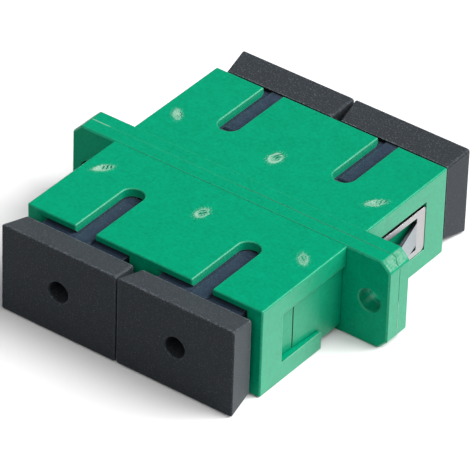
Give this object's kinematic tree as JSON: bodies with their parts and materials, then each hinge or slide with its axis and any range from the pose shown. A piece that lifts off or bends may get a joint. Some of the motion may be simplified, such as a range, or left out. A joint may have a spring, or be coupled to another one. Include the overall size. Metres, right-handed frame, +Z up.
{
  "type": "duplex fibre adapter",
  "caption": "Flanged duplex fibre optic adapter with square push-pull ports, screw ears, a panel clip and removable dust plugs.",
  "frame": {"origin": "under the middle of the adapter, on the plane of the ears' lower edges", "axes": "+X to the right ear seen from the front, +Y to the rear along the ports, +Z up towards the key slots"},
  "size_m": [0.0348, 0.0352, 0.0093],
  "materials": {
    "green_plastic": "moulded, satin",
    "latch_plastic": "moulded, satin",
    "ceramic": "polished zirconia",
    "spring_steel": "rolled sheet",
    "black_rubber": "fine matt grain"
  },
  "bodies": {
    "adapter": {"housing_front": "green_plastic", "housing_rear": "green_plastic", "latch_front_left": "latch_plastic", "latch_front_right": "latch_plastic", "latch_rear_left": "latch_plastic", "latch_rear_right": "latch_plastic", "sleeve_left": "ceramic", "sleeve_right": "ceramic", "panel_clip": "spring_steel"},
    "plug_front_left": {"plug_front_left": "black_rubber"},
    "plug_front_right": {"plug_front_right": "black_rubber"},
    "plug_rear_left": {"plug_rear_left": "black_rubber"},
    "plug_rear_right": {"plug_rear_right": "black_rubber"}
  },
  "joints": [
    {"name": "plug_front_left_slide", "type": "slide", "parent": "adapter", "child": "plug_front_left", "axis": [0, -1, 0], "range_m": [0, 0.016]},
    {"name": "plug_front_right_slide", "type": "slide", "parent": "adapter", "child": "plug_front_right", "axis": [0, -1, 0], "range_m": [0, 0.016]},
    {"name": "plug_rear_left_slide", "type": "slide", "parent": "adapter", "child": "plug_rear_left", "axis": [0, 1, 0], "range_m": [0, 0.016]},
    {"name": "plug_rear_right_slide", "type": "slide", "parent": "adapter", "child": "plug_rear_right", "axis": [0, 1, 0], "range_m": [0, 0.016]}
  ]
}
